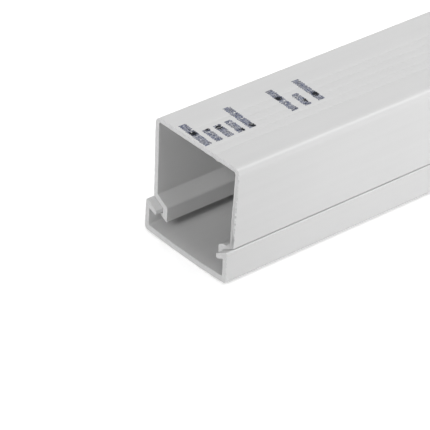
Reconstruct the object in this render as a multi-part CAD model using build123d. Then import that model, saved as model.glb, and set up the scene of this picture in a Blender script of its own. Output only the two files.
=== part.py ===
from build123d import *
from math import cos, radians, tan
import os

# Cable trunking with a clip-on cover, lying on its cover with the back up.
# Two extrusions along X. Y is across, Z is up from the cover's outer face. Millimetres and degrees.

# Stock
LENGTH = 2000.0
COVER_PROUD = 2.8  # the cover's near end stands this far ahead of the base's

# Base channel
WIDTH = 40.0
HEIGHT = 41.4
BACK_THICKNESS = 1.6
WALL_THICKNESS = 1.75
WALL_LEAN = 1.6
BACK_CORNER_RADIUS = 2.7
INNER_CORNER_RADIUS = 0.8

# Guide grooves along the back's outer face
GUIDE_COUNT = 5
GUIDE_PITCH = 3.7
GUIDE_WIDTH = 1.9
GUIDE_DEPTH = 0.17
GUIDE_OFFSET = -0.8

# Snap lock on the base: a step inwards, a leg and a barb
STEP_IN = 4.7
STEP_ANGLE = 29.0
STEP_THICKNESS = 1.85
LEG_THICKNESS = 2.05
LOCK_HEIGHT = 1.8  # the leg's plain outer face, between the step and the barb's ledge
BARB_REACH = 1.65
LEDGE_ANGLE = 25.0
TIP_FALL = 1.92
STEP_RADIUS = 0.5
LEG_RADIUS = 0.8
BARB_RADIUS = 0.2

# Cover
COVER_WIDTH = 39.8
COVER_SIDE = 12.12  # height of the lip's slope at the foot of the base's wall
COVER_WALL = 1.95
COVER_LEAN = 1.0
PLATE_THICKNESS = 2.1
PLATE_BOW = 0.65
COVER_CORNER_RADIUS = 1.4
COVER_EDGE_RADIUS = 0.6
FLOOR_RADIUS = 0.5
LIP_UNDERCUT = 19.0
LIP_TIP_RADIUS = 0.25

# Gap all round between the lip and what it hooks behind
SNAP_CLEARANCE = 0.15


def slope(angle):
    """Rise over run."""
    return tan(radians(angle))


def upright(gap, angle):
    """Height of a gap that is measured square to a face at this angle."""
    return gap / cos(radians(angle))


# Places that both pieces share
WALL_RUN = slope(WALL_LEAN)
STEP_RUN = slope(STEP_ANGLE)
SHOULDER_Y = WIDTH / 2 + BACK_CORNER_RADIUS * WALL_RUN  # the back's corner before it is rounded
FOOT_Z = COVER_SIDE + upright(SNAP_CLEARANCE, STEP_ANGLE)
FOOT_Y = SHOULDER_Y - (HEIGHT - FOOT_Z) * WALL_RUN
LEG_OUTER = FOOT_Y - STEP_IN
LEDGE_Z = FOOT_Z - STEP_IN * STEP_RUN - LOCK_HEIGHT


def mirrored(points):
    """A half outline from the top middle round to the bottom, with its mirror image."""
    return points + [(-y, z) for y, z in reversed(points)]


def rounded(section, corners):
    """Rounds the corners nearest to the given points, on both sides of the section."""
    for y, z, radius in corners:
        for side in (1, -1):
            corner = section.vertices().sort_by_distance((side * y, z, 0))[0]
            section = fillet(corner, radius)
    return section


def guide_grooves():
    """Shallow vees, each cut as a triangle that stands as far above the face as it goes below."""
    corners = [(-GUIDE_WIDTH, GUIDE_DEPTH), (GUIDE_WIDTH, GUIDE_DEPTH), (0, -GUIDE_DEPTH)]
    vee = make_face(Polyline(*corners, close=True))
    return Pos(GUIDE_OFFSET, HEIGHT) * GridLocations(GUIDE_PITCH, GUIDE_WIDTH, GUIDE_COUNT, 1) * vee


def base_section():
    """Back, leaning walls, and on each wall's edge the step, leg and barb."""
    wall = upright(WALL_THICKNESS, WALL_LEAN)
    ceiling = HEIGHT - BACK_THICKNESS
    inner_top = SHOULDER_Y - wall - BACK_THICKNESS * WALL_RUN
    leg_inner = LEG_OUTER - LEG_THICKNESS

    # The step's upper face is parallel to its underside. It meets the wall's leaning inner face.
    step_rise = upright(STEP_THICKNESS, STEP_ANGLE)
    step_height = (step_rise - wall * STEP_RUN) / (1 - WALL_RUN * STEP_RUN)
    step_y = FOOT_Y - wall + step_height * WALL_RUN
    step_z = FOOT_Z + step_height
    shoulder_z = FOOT_Z + step_rise - (FOOT_Y - leg_inner) * STEP_RUN

    barb_z = LEDGE_Z - BARB_REACH * slope(LEDGE_ANGLE)
    outline = mirrored([
        (SHOULDER_Y, HEIGHT),
        (FOOT_Y, FOOT_Z),
        (LEG_OUTER, LEDGE_Z + LOCK_HEIGHT),
        (LEG_OUTER, LEDGE_Z),
        (LEG_OUTER + BARB_REACH, barb_z),
        (leg_inner, barb_z - TIP_FALL),
        (leg_inner, shoulder_z),
        (step_y, step_z),
        (inner_top, ceiling),
    ])
    section = rounded(make_face(Polyline(*outline, close=True)), [
        (SHOULDER_Y, HEIGHT, BACK_CORNER_RADIUS),
        (inner_top, ceiling, INNER_CORNER_RADIUS),
        (step_y, step_z, STEP_RADIUS),
        (leg_inner, shoulder_z, LEG_RADIUS),
        (LEG_OUTER + BARB_REACH, barb_z, BARB_RADIUS),
        (leg_inner, barb_z - TIP_FALL, BARB_RADIUS),
    ])
    return section - guide_grooves()


def cover_section():
    """Bowed plate, low walls, and lips that lie along the base's steps and hook over its barbs."""
    half = COVER_WIDTH / 2
    side_run = slope(COVER_LEAN)
    inner = half - COVER_WALL

    # The lip's upper face runs out to the wall's leaning outer face.
    edge_y = (half - (COVER_SIDE - PLATE_BOW - FOOT_Y * STEP_RUN) * side_run) / (1 + STEP_RUN * side_run)
    edge_z = COVER_SIDE + (edge_y - FOOT_Y) * STEP_RUN

    tip_y = LEG_OUTER + SNAP_CLEARANCE
    tip_top = COVER_SIDE - (FOOT_Y - tip_y) * STEP_RUN
    tip_under = LEDGE_Z - SNAP_CLEARANCE * slope(LEDGE_ANGLE) + upright(SNAP_CLEARANCE, LEDGE_ANGLE)
    root_z = tip_under + (inner - tip_y) * slope(LIP_UNDERCUT)
    floor_z = PLATE_BOW + PLATE_THICKNESS

    side = Polyline(
        (half, PLATE_BOW),
        (edge_y, edge_z),
        (tip_y, tip_top),
        (tip_y, tip_under),
        (inner, root_z),
        (inner, floor_z),
    )
    outline = [
        side,
        side.mirror(Plane.YZ),
        ThreePointArc((-half, PLATE_BOW), (0, 0), (half, PLATE_BOW)),
        ThreePointArc((-inner, floor_z), (0, PLATE_THICKNESS), (inner, floor_z)),
    ]
    return rounded(make_face(outline), [
        (half, PLATE_BOW, COVER_CORNER_RADIUS),
        (edge_y, edge_z, COVER_EDGE_RADIUS),
        (tip_y, tip_top, LIP_TIP_RADIUS),
        (tip_y, tip_under, LIP_TIP_RADIUS),
        (inner, floor_z, FLOOR_RADIUS),
    ])


def extrusion(section, middle_x):
    """The section run along X for the whole length, about its middle."""
    return Pos(middle_x) * extrude(Plane.YZ * section, amount=LENGTH / 2, both=True)


def main():
    pieces = {
        "trunking_base": extrusion(base_section(), COVER_PROUD / 2),
        "trunking_cover": extrusion(cover_section(), -COVER_PROUD / 2),
    }
    os.makedirs("parts", exist_ok=True)
    for name, piece in pieces.items():
        export_step(piece, f"parts/{name}.step")


main()
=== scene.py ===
import random
from math import pi, radians

import bmesh
import bpy
from mathutils import Matrix, Vector, noise
from mathutils.bvhtree import BVHTree


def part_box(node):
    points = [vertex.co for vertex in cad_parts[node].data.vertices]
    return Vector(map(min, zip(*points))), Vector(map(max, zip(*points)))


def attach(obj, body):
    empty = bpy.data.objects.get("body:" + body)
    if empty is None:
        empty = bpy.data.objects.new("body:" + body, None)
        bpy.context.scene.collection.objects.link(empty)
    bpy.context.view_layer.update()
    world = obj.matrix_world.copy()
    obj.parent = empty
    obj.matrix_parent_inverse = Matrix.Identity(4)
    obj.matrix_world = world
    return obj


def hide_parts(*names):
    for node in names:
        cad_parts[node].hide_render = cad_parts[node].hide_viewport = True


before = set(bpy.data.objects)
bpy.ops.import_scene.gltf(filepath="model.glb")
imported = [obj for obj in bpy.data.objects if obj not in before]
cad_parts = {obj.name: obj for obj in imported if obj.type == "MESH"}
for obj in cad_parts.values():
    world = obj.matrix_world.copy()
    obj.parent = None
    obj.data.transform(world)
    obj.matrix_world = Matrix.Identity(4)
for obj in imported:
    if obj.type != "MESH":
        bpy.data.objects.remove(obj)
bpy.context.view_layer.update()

# Two lengths of extruded plastic trunking, sawn off square and clipped together, lying on the cover.
# Each piece is a merged copy of its solid. The long faces stay as they are, and both ends get the rough
# edge that a saw leaves. Lengths are in metres and angles in degrees.
MM = 0.001
TOUCH = 0.001 * MM


# Shader nodes

def add(tree, kind, inputs=None, **settings):
    """A node with its settings and inputs. An input given as a socket is linked."""
    made = tree.nodes.new(kind)
    for key, value in settings.items():
        setattr(made, key, value)
    for key, value in (inputs or {}).items():
        if isinstance(value, bpy.types.NodeSocket):
            tree.links.new(value, made.inputs[key])
        else:
            made.inputs[key].default_value = value
    return made


def effect(name, inputs):
    """A node group with float inputs and one float output, and the sockets of its input node."""
    group = bpy.data.node_groups.new(name, "ShaderNodeTree")
    for socket, value in inputs.items():
        made = group.interface.new_socket(name=socket, in_out="INPUT", socket_type="NodeSocketFloat")
        made.default_value = value
    group.interface.new_socket(name="Value", in_out="OUTPUT", socket_type="NodeSocketFloat")
    return group, group.nodes.new("NodeGroupInput").outputs


def put_out(group, socket):
    group.links.new(socket, group.nodes.new("NodeGroupOutput").inputs["Value"])
    return group


def maths(tree, operation, first, second):
    return add(tree, "ShaderNodeMath", {0: first, 1: second}, operation=operation).outputs[0]


def place(tree):
    return add(tree, "ShaderNodeTexCoord").outputs["Object"]


def noise_at(tree, where, scale, detail):
    return add(tree, "ShaderNodeTexNoise", {"Vector": where, "Scale": scale, "Detail": detail}).outputs["Fac"]


def drawn_out(tree, where, along, across):
    """A place counted in steps of one length along X, and of another across it."""
    along = maths(tree, "DIVIDE", 1.0, along)
    across = maths(tree, "DIVIDE", 1.0, across)
    scale = add(tree, "ShaderNodeCombineXYZ", {"X": along, "Y": across, "Z": across})
    return add(tree, "ShaderNodeVectorMath", {0: where, 1: scale.outputs[0]}, operation="MULTIPLY").outputs[0]


def between(tree, mask, low, high, start=0.0, end=1.0):
    """Goes from low to high as the mask goes from start to end."""
    return add(tree, "ShaderNodeMapRange", {
        "Value": mask, "From Min": start, "From Max": end, "To Min": low, "To Max": high}).outputs[0]


def extrusion_lines():
    """Fine lines that the die draws along the whole length."""
    group, given = effect("extrusion_lines", {"Spacing": 1 * MM, "Run": 0.6})
    stretched = drawn_out(group, place(group), given["Run"], given["Spacing"])
    return put_out(group, noise_at(group, stretched, scale=1.0, detail=2.0))


def blotches():
    """Slow changes of tone, in blotches of a given size."""
    group, given = effect("blotches", {"Size": 20 * MM, "Detail": 3.0})
    scale = maths(group, "DIVIDE", 1.0, given["Size"])
    return put_out(group, noise_at(group, place(group), scale, given["Detail"]))


SCUFF_TURNS = [(0, 11, 14), (0, -19, -23)]


def scuffs():
    """Thin short scratches in two directions, in patches."""
    group, given = effect("scuffs", {"Length": 25 * MM, "Width": 0.25 * MM, "Patch": 60 * MM})
    found = []
    for angles in SCUFF_TURNS:
        turn = [radians(angle) for angle in angles]
        turned = add(group, "ShaderNodeMapping", {"Vector": place(group), "Rotation": turn})
        stretched = drawn_out(group, turned.outputs[0], given["Length"], given["Width"])
        streaks = noise_at(group, stretched, scale=1.0, detail=1.0)
        found.append(between(group, streaks, 0.0, 1.0, start=0.70, end=0.78))
    both = maths(group, "MAXIMUM", *found)
    patches = noise_at(group, place(group), maths(group, "DIVIDE", 1.0, given["Patch"]), detail=1.0)
    worn = between(group, patches, 0.0, 1.0, start=0.48, end=0.62)
    return put_out(group, maths(group, "MULTIPLY", both, worn))


CRUMBS_PER_METRE = 2600.0


def saw_arcs():
    """The shallow arcs that a round blade leaves on a cut face."""
    group, given = effect("saw_arcs", {"Pitch": 0.45 * MM, "Axle Y": 0.06, "Axle Z": -0.11})
    part = add(group, "ShaderNodeSeparateXYZ", {0: place(group)})
    side = maths(group, "SUBTRACT", part.outputs["Y"], given["Axle Y"])
    rise = maths(group, "SUBTRACT", part.outputs["Z"], given["Axle Z"])
    flat = add(group, "ShaderNodeCombineXYZ", {"Y": side, "Z": rise})
    reach = add(group, "ShaderNodeVectorMath", {0: flat.outputs[0]}, operation="LENGTH")
    steps = maths(group, "DIVIDE", reach.outputs["Value"], given["Pitch"])
    ridges = add(group, "ShaderNodeTexNoise", {
        "W": steps, "Scale": 1.0, "Detail": 2.0}, noise_dimensions="1D")
    crumbs = noise_at(group, place(group), CRUMBS_PER_METRE, detail=2.0)
    return put_out(group, maths(group, "MULTIPLY", ridges.outputs["Fac"], crumbs))


LINES = extrusion_lines()
BLOTCHES = blotches()
SCUFFS = scuffs()
SAW_ARCS = saw_arcs()


def use(tree, group, **inputs):
    made = add(tree, "ShaderNodeGroup", node_tree=group)
    for key, value in inputs.items():
        made.inputs[key].default_value = value
    return made.outputs["Value"]


def attribute(tree, name):
    return add(tree, "ShaderNodeAttribute", attribute_name=name).outputs["Fac"]


def tinted(tree, first, second, mask):
    """A colour that goes from the first to the second as the mask rises."""
    mix = add(tree, "ShaderNodeMix", data_type="RGBA")
    colours = [s for s in mix.inputs if s.type == "RGBA"]
    for socket, value in zip(colours, (first, second)):
        if isinstance(value, bpy.types.NodeSocket):
            tree.links.new(value, socket)
        else:
            socket.default_value = (*value, 1.0)
    tree.links.new(mask, mix.inputs[0])
    return next(s for s in mix.outputs if s.type == "RGBA")


def shade(colour, share):
    return [min(1.0, c * share) for c in colour]


# Materials

PLASTIC_IOR = 1.53
GRAINS_PER_METRE = 3200.0
INK = (0.046, 0.063, 0.134)
THICK_INK = (0.014, 0.019, 0.046)
POOLED_INK = (0.004, 0.005, 0.009)


def new_material(name):
    material = bpy.data.materials.new(name)
    material.use_nodes = True
    material.node_tree.nodes.clear()
    return material, material.node_tree


def finished(tree, shader):
    tree.links.new(shader, add(tree, "ShaderNodeOutputMaterial").inputs["Surface"])


def extruded_plastic(name, colour, line_spacing):
    """Satin hard plastic with die lines, faint blotches and a few scuffs."""
    material, tree = new_material(name)
    lines = use(tree, LINES, Spacing=line_spacing, Run=0.8)
    broad = use(tree, LINES, Spacing=4.2 * MM, Run=1.5)
    cloud = use(tree, BLOTCHES, Size=28 * MM, Detail=3.0)
    scratches = use(tree, SCUFFS)

    in_lines = between(tree, broad, 0.0, 1.0, start=0.3, end=0.7)
    tone = tinted(tree, shade(colour, 0.982), shade(colour, 1.018), in_lines)
    tone = tinted(tree, tone, shade(colour, 1.05), between(tree, cloud, 0.0, 0.35, start=0.45, end=0.7))
    tone = tinted(tree, tone, shade(colour, 1.12), between(tree, scratches, 0.0, 0.5))

    grain = noise_at(tree, place(tree), GRAINS_PER_METRE, detail=2.0)
    height = maths(tree, "ADD", between(tree, lines, 0.0, 1.0), between(tree, grain, 0.0, 0.35))
    height = maths(tree, "SUBTRACT", height, between(tree, scratches, 0.0, 0.6))
    bump = add(tree, "ShaderNodeBump", {"Height": height, "Strength": 0.22, "Distance": 0.03 * MM})
    dulled = between(tree, lines, 0.28, 0.35, start=0.3, end=0.7)
    roughness = maths(tree, "ADD", dulled, between(tree, scratches, 0.0, 0.15))

    plastic = add(tree, "ShaderNodeBsdfPrincipled", {
        "Base Color": tone, "Roughness": roughness, "Normal": bump.outputs[0], "IOR": PLASTIC_IOR})
    finished(tree, plastic.outputs[0])
    return material


def sawn_plastic(name, colour):
    """The same plastic where the saw went through: matt, paler and ridged, darker grey where the edge is
    torn, and darkened by painted shade at the marks.
    """
    material, tree = new_material(name)
    arcs = use(tree, SAW_ARCS)
    cloud = use(tree, BLOTCHES, Size=3 * MM, Detail=4.0)
    torn_and_painted_shade = attribute(tree, "torn_and_painted_shade")

    in_arcs = between(tree, arcs, 0.0, 1.0, start=0.12, end=0.38)
    tone = tinted(tree, shade(colour, 0.97), shade(colour, 1.13), in_arcs)
    tone = tinted(tree, tone, shade(colour, 0.9), between(tree, cloud, 0.0, 0.6, start=0.55, end=0.85))
    # Darker grey where the edge is torn, and painted shade where the marks on the near end lay it
    tone = tinted(tree, tone, shade(colour, 0.40), between(tree, torn_and_painted_shade, 0.0, 1.0, start=0.1, end=0.95))

    bump = add(tree, "ShaderNodeBump", {"Height": arcs, "Strength": 0.5, "Distance": 0.12 * MM})
    plastic = add(tree, "ShaderNodeBsdfPrincipled", {
        "Base Color": tone, "Roughness": between(tree, cloud, 0.58, 0.74),
        "Normal": bump.outputs[0], "IOR": PLASTIC_IOR})
    finished(tree, plastic.outputs[0])
    return material


def printing_ink(name):
    """Blue-black marking ink that has dried unevenly, and black where it has pooled."""
    material, tree = new_material(name)
    patchy = use(tree, BLOTCHES, Size=1.6 * MM, Detail=3.0)
    pooled = attribute(tree, "pooled")
    tone = tinted(tree, INK, THICK_INK, between(tree, patchy, 0.0, 1.0, start=0.42, end=0.66))
    tone = tinted(tree, tone, POOLED_INK, between(tree, pooled, 0.0, 1.0, start=0.05, end=0.35))
    ink = add(tree, "ShaderNodeBsdfPrincipled", {
        "Base Color": tone, "Roughness": between(tree, patchy, 0.62, 0.50), "Specular IOR Level": 0.2})
    finished(tree, ink.outputs[0])
    return material


# The two lengths

FLAT_ANGLE = 0.1  # faces that meet at less than this become one
SMOOTH_ANGLE = 13  # the facets of a rounded corner meet at less than this
SAW_ZONE = 0.8 * MM  # how far in from a cut the long faces' own shape may be disturbed

# The saw breaks away a narrow band along the edge of each cut face
EDGE_BAND = 0.13 * MM
EDGE_STEP = 0.45 * MM
EDGE_BITE = 0.12 * MM
CRUMB_SIZE = 1.3 * MM
CRUMB_LEVEL = 0.35  # above 0, so that most of the edge is a little broken
FINE_CRUMBS = 2.7  # how many times finer the second size of crumbs is
FINE_SHARE = 0.6

# The blade comes out through the wall on the -Y side and tears its outer edge, more so near the cover
TORN_SIDE = 0.95 * MM
TEAR_PITCH = 0.95 * MM
TEAR_DEPTH = 0.34 * MM
TEAR_WIDTH = 0.75 * MM
TEAR_LEVEL = 0.62
TEAR_SWING = 1.9
TEAR_EASE = 0.6  # how much weaker it is at the back than at the cover
TEAR_SPREAD = 0.5  # how much of the grey reaches the band's inner edge

GUIDE_ZONE = 0.3 * MM  # the grooves are no deeper than this below the back's face
GUIDE_REACH = 12 * MM  # nor further out from its middle
BASE_LOW, BASE_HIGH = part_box("trunking_base")


def crumble(point, seed):
    """How much of the edge has broken away here, from 0 to about 1.5."""
    spot = Vector((point.y, point.z, seed * CRUMB_SIZE)) / CRUMB_SIZE
    return max(0.0, CRUMB_LEVEL + noise.noise(spot) + FINE_SHARE * noise.noise(spot * FINE_CRUMBS))


def tear(point, seed, low_y):
    """How badly the blade has torn the outer edge of the last wall here, from 0 to 1."""
    if point.y > low_y + TORN_SIDE:
        return 0.0
    spot = Vector((0.0, point.z, seed * TEAR_PITCH)) / TEAR_PITCH
    worse = 1.0 - TEAR_EASE * point.z / BASE_HIGH.z
    return worse * min(1.0, max(0.0, TEAR_LEVEL + TEAR_SWING * noise.noise(spot)))


def worn_edge(bm, end_x, inward, seed, low_y, marks, tearing):
    """Breaks the edge of one cut face. Returns the faces that the saw has been over."""
    # This layer holds how much darker the cut face is: where the edge is torn, and painted shade at the marks
    torn_and_painted_shade = bm.verts.layers.float["torn_and_painted_shade"]
    everything = bm.verts[:] + bm.edges[:] + bm.faces[:]
    bmesh.ops.bisect_plane(bm, geom=everything, dist=TOUCH / 10,
                           plane_co=(end_x + inward * SAW_ZONE, 0, 0), plane_no=(1, 0, 0))
    cut = [f for f in bm.faces if all(abs(v.co.x - end_x) < TOUCH for v in f.verts)]
    for edge in [e for f in cut for e in f.edges if not all(g in cut for g in e.link_faces)]:
        cuts = int(edge.calc_length() / EDGE_STEP)
        if cuts:
            bmesh.ops.subdivide_edges(bm, edges=[edge], cuts=cuts)
    band = bmesh.ops.inset_region(bm, faces=cut, thickness=EDGE_BAND, use_even_offset=True)["faces"]
    sawn = set(cut) | set(band)
    rim = {v for f in band for v in f.verts if any(g not in sawn for g in v.link_faces)}
    for v in rim:
        damage = tearing * tear(v.co, seed, low_y)
        v[torn_and_painted_shade] = damage
        across = [e.other_vert(v) for e in v.link_edges if e.other_vert(v) not in rim]
        for inner in (w for w in across if abs(w.co.x - end_x) < TOUCH):
            inner.co.y += TEAR_WIDTH * damage
            inner[torn_and_painted_shade] = TEAR_SPREAD * damage
        v.co.x += inward * (EDGE_BITE * crumble(v.co, seed) + TEAR_DEPTH * damage)
    # Each mark pushes the cut face in and darkens it with painted shade, both fading out over its spread
    for v in {v for f in sawn for v in f.verts}:
        for y, z, spread, drop, painted_shade in marks:
            near = max(0.0, 1.0 - Vector((v.co.y - y, v.co.z - z)).length / spread)
            v.co.z -= drop * near
            v[torn_and_painted_shade] = max(v[torn_and_painted_shade], painted_shade * near)
    return sawn


def sawn_length(node, name, materials, marks, tearing, seed):
    """A copy of a solid with merged corners, whole faces and saw-worn ends. The marks go on its near end."""
    bm = bmesh.new()
    bm.from_mesh(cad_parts[node].data)
    bmesh.ops.remove_doubles(bm, verts=bm.verts, dist=TOUCH)
    bmesh.ops.dissolve_limit(bm, angle_limit=radians(FLAT_ANGLE), verts=bm.verts, edges=bm.edges)
    bm.verts.layers.float.new("torn_and_painted_shade")
    low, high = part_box(node)
    for face in bm.faces:
        face.material_index = 0
    sawn = worn_edge(bm, low.x, 1, seed, low.y, marks, tearing)
    for face in sawn | worn_edge(bm, high.x, -1, seed + 1, low.y, [], tearing):
        face.material_index = 1
    return finished_piece(name, bm, materials, node)


def crisp_guides(mesh):
    """Keeps the guide grooves sharp. Their sides lean less than the facets of the rounded corners do."""
    for edge in mesh.edges:
        ends = [mesh.vertices[i].co for i in edge.vertices]
        if all(v.z > BASE_HIGH.z - GUIDE_ZONE and abs(v.y) < GUIDE_REACH for v in ends):
            edge.use_edge_sharp = True


def finished_piece(name, bm, materials, node=None):
    """The object for a mesh. A piece that replaces a solid's node is shaded smooth as well."""
    mesh = bpy.data.meshes.new(name)
    bm.to_mesh(mesh)
    bm.free()
    for material in materials:
        mesh.materials.append(material)
    piece = bpy.data.objects.new(name, mesh)
    bpy.context.scene.collection.objects.link(piece)
    if node:
        mesh.polygons.foreach_set("use_smooth", [True] * len(mesh.polygons))
        mesh.set_sharp_from_angle(angle=radians(SMOOTH_ANGLE))
        if node == "trunking_base":
            crisp_guides(mesh)
        weights = piece.modifiers.new("even_faces", "WEIGHTED_NORMAL")
        weights.keep_sharp = True
        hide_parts(node)
    return piece


# Marks on the near end of the base: place in Y and Z, spread, drop, and how much painted shade darkens the
# cut face there. The nick and the dent are handling marks, and the wall's foot has painted shade only
BACK_NICK = (-9.7 * MM, 39.8 * MM, 0.9 * MM, 0.35 * MM, 0.0)
# A real dent, with painted shade darkening it
STEP_DENT = (-16.2 * MM, 12.75 * MM, 2.0 * MM, 0.7 * MM, 0.45)
# Painted shade only: the cut face is darkened at the wall's foot, where the corner by the step lies in shade
WALL_FOOT_SHADE = (-18.4 * MM, 15.0 * MM, 4.4 * MM, 0.0, 1.0)

BASE_COLOUR = (0.640, 0.640, 0.640)
BASE_SAWN_COLOUR = (0.675, 0.675, 0.675)
COVER_COLOUR = (0.636, 0.636, 0.636)

base = sawn_length("trunking_base", "base_length", [
    extruded_plastic("base_pvc", BASE_COLOUR, line_spacing=0.9 * MM),
    sawn_plastic("base_pvc_sawn", BASE_SAWN_COLOUR),
], marks=[BACK_NICK, STEP_DENT, WALL_FOOT_SHADE], tearing=1.0, seed=11)
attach(base, "base")

cover = sawn_length("trunking_cover", "cover_length", [
    extruded_plastic("cover_pvc", COVER_COLOUR, line_spacing=1.1 * MM),
    sawn_plastic("cover_pvc_sawn", COVER_COLOUR),
], marks=[], tearing=0.4, seed=12)
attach(cover, "cover")


# Printed marks: plain measuring ticks in dots of ink, such as a printing head leaves on moving stock

DOT_PITCH = 0.45 * MM
DOT_RADIUS = 0.250 * MM
DOT_SIZES = (0.78, 1.10)  # least and greatest, in dot radii
DOT_DRIFT = 0.014 * MM
DOT_LEAN = 0.05  # how far each row of a tick stands behind the last, in dots
DOT_CROWN = 0.9  # the width of a dot's top over that of its foot
DOT_SIDES = 8
DOTS_MISSING = 0.02
INK_THICKNESS = 0.012 * MM
POOL_REACH = 3.4  # in dots
POOL_SPREAD = 0.6  # how much wider a dot is in the middle of a pool, in dot radii
TICK_DOTS = 6  # across each tick
TICK_FOOT = -3.0 * MM  # the Y of each tick's first row
LONG_TICK = 31
SHORT_TICK = 17
# Each tick: its distance from the sawn end in mm, and its length in dots
TICKS = [(0.9, LONG_TICK), (5.4, SHORT_TICK), (9.9, SHORT_TICK), (14.4, SHORT_TICK), (18.9, LONG_TICK),
         (36.6, LONG_TICK), (42.2, SHORT_TICK), (47.8, LONG_TICK)]
PRINT_SEED = 11


def ticks():
    """Staggered rows of dots, each laid on the back's face, with ink pooled in one place of each tick."""
    face = BVHTree.FromObject(base, bpy.context.evaluated_depsgraph_get())
    bm = bmesh.new()
    pooled = bm.verts.layers.float.new("pooled")
    draw = random.Random(PRINT_SEED)
    for start, count in TICKS:
        pool = Vector((draw.uniform(0, TICK_DOTS), draw.uniform(0, count)))
        for row in range(count):
            for column in range(TICK_DOTS):
                across = column + 0.5 * (row % 2)
                wet = max(0.0, 1.0 - (Vector((across, row)) - pool).length / POOL_REACH)
                x = BASE_LOW.x + start * MM + (across + DOT_LEAN * row) * DOT_PITCH + draw.gauss(0, DOT_DRIFT)
                y = TICK_FOOT + row * DOT_PITCH + draw.gauss(0, DOT_DRIFT)
                size = DOT_RADIUS * (draw.uniform(*DOT_SIZES) + POOL_SPREAD * wet)
                if draw.random() < DOTS_MISSING:
                    continue
                spot, normal, *_ = face.ray_cast(Vector((x, y, BASE_HIGH.z + MM)), Vector((0, 0, -1)))
                lie = Matrix.Translation(spot) @ normal.to_track_quat("Z", "Y").to_matrix().to_4x4()
                # The lower half of each dot is sunk in the plastic
                dot = bmesh.ops.create_cone(bm, cap_ends=True, segments=DOT_SIDES, radius1=size,
                                            radius2=DOT_CROWN * size, depth=2 * INK_THICKNESS, matrix=lie)
                for v in dot["verts"]:
                    v[pooled] = wet
                    v.co.z = min(v.co.z, BASE_HIGH.z + INK_THICKNESS)
    return finished_piece("printed_ticks", bm, [printing_ink("marking_ink")])


marks = ticks()
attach(marks, "base")


# Studio

FLOOR_HALF = 15.0
FLOOR_COLOUR = (0.80, 0.80, 0.80, 1.0)
FLOOR_GLOW = 0.42
SURROUND = 0.05
WHITE = (1.0, 1.0, 1.0, 1.0)


def seen_directly(tree):
    """1 for what the camera sees, straight or mirrored, and 0 for the light that falls on things."""
    path = add(tree, "ShaderNodeLightPath")
    mirrored = maths(tree, "MAXIMUM", path.outputs["Is Glossy Ray"], path.outputs["Is Transmission Ray"])
    return maths(tree, "MAXIMUM", path.outputs["Is Camera Ray"], mirrored)


def studio_floor():
    """A pale floor that is white to the camera where no shadow lies on it."""
    bm = bmesh.new()
    bmesh.ops.create_grid(bm, x_segments=1, y_segments=1, size=FLOOR_HALF)
    floor = finished_piece("studio_floor", bm, [])
    material, tree = new_material("floor_paper")
    paper = add(tree, "ShaderNodeBsdfDiffuse", {"Color": FLOOR_COLOUR})
    glow = add(tree, "ShaderNodeEmission", {"Color": WHITE, "Strength": FLOOR_GLOW})
    lifted = add(tree, "ShaderNodeAddShader", {0: paper.outputs[0], 1: glow.outputs[0]})
    both = add(tree, "ShaderNodeMixShader", {
        0: seen_directly(tree), 1: paper.outputs[0], 2: lifted.outputs[0]})
    finished(tree, both.outputs[0])
    floor.data.materials.append(material)


def studio_world(level):
    """An even grey surround for soft light, seen and reflected as white."""
    world = bpy.data.worlds.new("surround")
    bpy.context.scene.world = world
    world.use_nodes = True
    tree = world.node_tree
    tree.nodes.clear()
    strength = between(tree, seen_directly(tree), level, 1.0)
    sky = add(tree, "ShaderNodeBackground", {"Color": WHITE, "Strength": strength})
    tree.links.new(sky.outputs[0], add(tree, "ShaderNodeOutputWorld").inputs["Surface"])


def strip_light(name, centre, size, level, aim):
    """A long lamp close to the part, with its length along X. The level is the brightness of its face."""
    lamp = bpy.data.lights.new(name, "AREA")
    lamp.shape = "RECTANGLE"
    lamp.size, lamp.size_y = size
    lamp.energy = level * pi * size[0] * size[1]
    light = bpy.data.objects.new(name, lamp)
    light.location = centre
    along = Vector((1, 0, 0))
    away = Vector((0.0, centre[1] - aim[1], centre[2] - aim[2])).normalized()
    light.rotation_euler = Matrix((along, away.cross(along), away)).transposed().to_euler()
    light.visible_glossy = False
    light.visible_camera = False
    bpy.context.scene.collection.objects.link(light)


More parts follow.
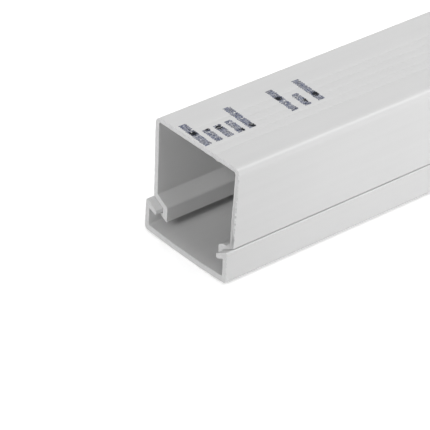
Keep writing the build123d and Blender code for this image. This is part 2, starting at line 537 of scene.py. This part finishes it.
def distant_light(name, direction, level, spread, mirrored=True):
    """A far soft lamp. The level is what a white face square to it would show."""
    lamp = bpy.data.lights.new(name, "SUN")
    lamp.energy = level * pi
    lamp.angle = radians(spread)
    light = bpy.data.objects.new(name, lamp)
    light.rotation_euler = Vector(direction).to_track_quat("Z", "Y").to_euler()
    light.visible_glossy = mirrored
    bpy.context.scene.collection.objects.link(light)


studio_floor()
studio_world(SURROUND)

# Distant lamps light the whole length alike. The two strips end level with the part's ends, so that
# the light falls off a little there.
distant_light("key_light", (0.60, -0.31, 0.74), level=0.141, spread=14)
distant_light("side_light", (0.10, -0.93, 0.36), level=0.233, spread=25, mirrored=False)
distant_light("back_light", (0.15, 0.75, 0.64), level=0.248, spread=25, mirrored=False)
distant_light("top_light", (0.10, 0.0, 1.0), level=0.219, spread=40, mirrored=False)
distant_light("front_light", (-0.80, -0.08, 0.59), level=0.400, spread=24)
distant_light("low_front_light", (-0.72, -0.64, 0.27), level=0.130, spread=20)
strip_light("side_strip", (0.0, -0.13, 0.03), size=(2.0, 0.06), level=1.0, aim=(0.0, 0.0, 0.02))
strip_light("top_strip", (0.0, -0.03, 0.18), size=(2.0, 0.06), level=0.6, aim=(0.0, -0.01, 0.04))

# The camera looks at the near end. Its place is measured from the middle of that end, on the floor.
CAMERA_FROM_END = Vector((-0.485815, -0.547098, 0.491636))
CAMERA_RIGHT = Vector((0.7613, -0.6466, 0.0480))
CAMERA_UP = Vector((0.3230, 0.4424, 0.8367))
SENSOR = 36.0  # in mm
FOCAL_FRAMES = 2796 / 430  # focal length over the width of the picture

camera = bpy.data.cameras.new("camera")
camera.sensor_width = SENSOR
camera.lens = SENSOR * FOCAL_FRAMES
viewer = bpy.data.objects.new("camera", camera)
back = CAMERA_RIGHT.cross(CAMERA_UP).normalized()
right = CAMERA_UP.cross(back).normalized()
turn = Matrix((right, back.cross(right), back)).transposed()
near_end = Vector((BASE_LOW.x, 0.0, 0.0))
viewer.matrix_world = Matrix.Translation(near_end + CAMERA_FROM_END) @ turn.to_4x4()
bpy.context.scene.collection.objects.link(viewer)
bpy.context.scene.camera = viewer
bpy.context.scene.view_settings.view_transform = "Standard"
